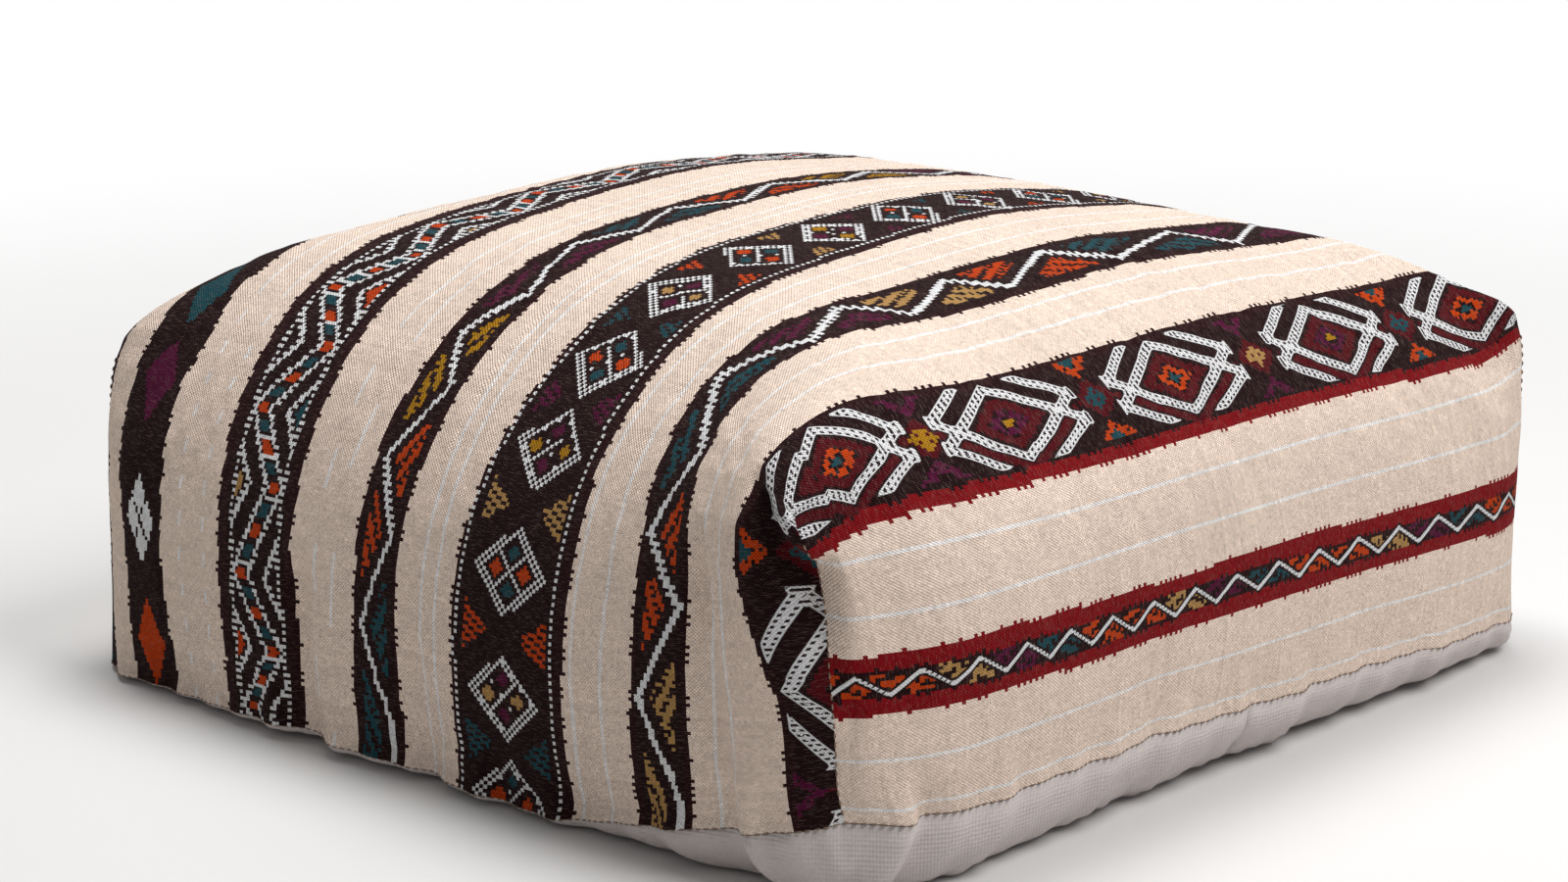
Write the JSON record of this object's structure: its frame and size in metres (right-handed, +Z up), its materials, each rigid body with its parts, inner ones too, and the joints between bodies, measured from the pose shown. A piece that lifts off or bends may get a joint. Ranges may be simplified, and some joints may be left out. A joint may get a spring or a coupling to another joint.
{
  "type": "floor pouf",
  "caption": "Square stuffed floor pouf with a banded kilim cover, rolled shoulders and a crowned top, a canvas base and a base zip whose slider runs and whose pull swings.",
  "frame": {"origin": "on the floor under the middle of the pouf", "axes": "+Z up, X along the base zip with its shut end at +X, Y across the zip; the kilim's bands run along Y over the top"},
  "size_m": [0.6, 0.6, 0.2699],
  "materials": {
    "kilim_wool": "matte",
    "base_canvas": "matte",
    "sewing_thread": "matte",
    "zip_tape": "matte",
    "zip_plastic": "satin",
    "zip_metal": "satin",
    "case_calico": "matte",
    "filling_fibre": "matte"
  },
  "bodies": {
    "pouf": {"kilim_cover": "kilim_wool", "corner_seam_stitching": "sewing_thread", "base_seam_stitching": "sewing_thread", "base_panel_front": "base_canvas", "base_panel_back": "base_canvas", "zip_tape_front": "zip_tape", "zip_tape_back": "zip_tape", "zip_teeth_front": "zip_plastic", "zip_teeth_back": "zip_plastic", "zip_closed_stops": "zip_plastic", "zip_open_stop": "zip_plastic", "zip_stitching_front": "sewing_thread", "zip_stitching_back": "sewing_thread", "insert_top_panel": "case_calico", "insert_side_band": "case_calico", "insert_bottom_panel": "case_calico", "insert_seam_stitching": "sewing_thread", "fibre_filling": "filling_fibre"},
    "zip_slider": {"zip_slider": "zip_metal"},
    "zip_pull": {"zip_pull": "zip_metal"}
  },
  "joints": [
    {"name": "zip_slider_travel", "type": "slide", "parent": "pouf", "child": "zip_slider", "axis": [-1, 0, 0], "range_m": [0, 0.3514], "deforming": ["zip_teeth_front", "zip_teeth_back"]},
    {"name": "zip_pull_swing", "type": "hinge", "parent": "zip_slider", "child": "zip_pull", "pos_m": [0.1757, 0, 0.006], "axis": [0, -1, 0], "range_deg": [0, 180]}
  ]
}
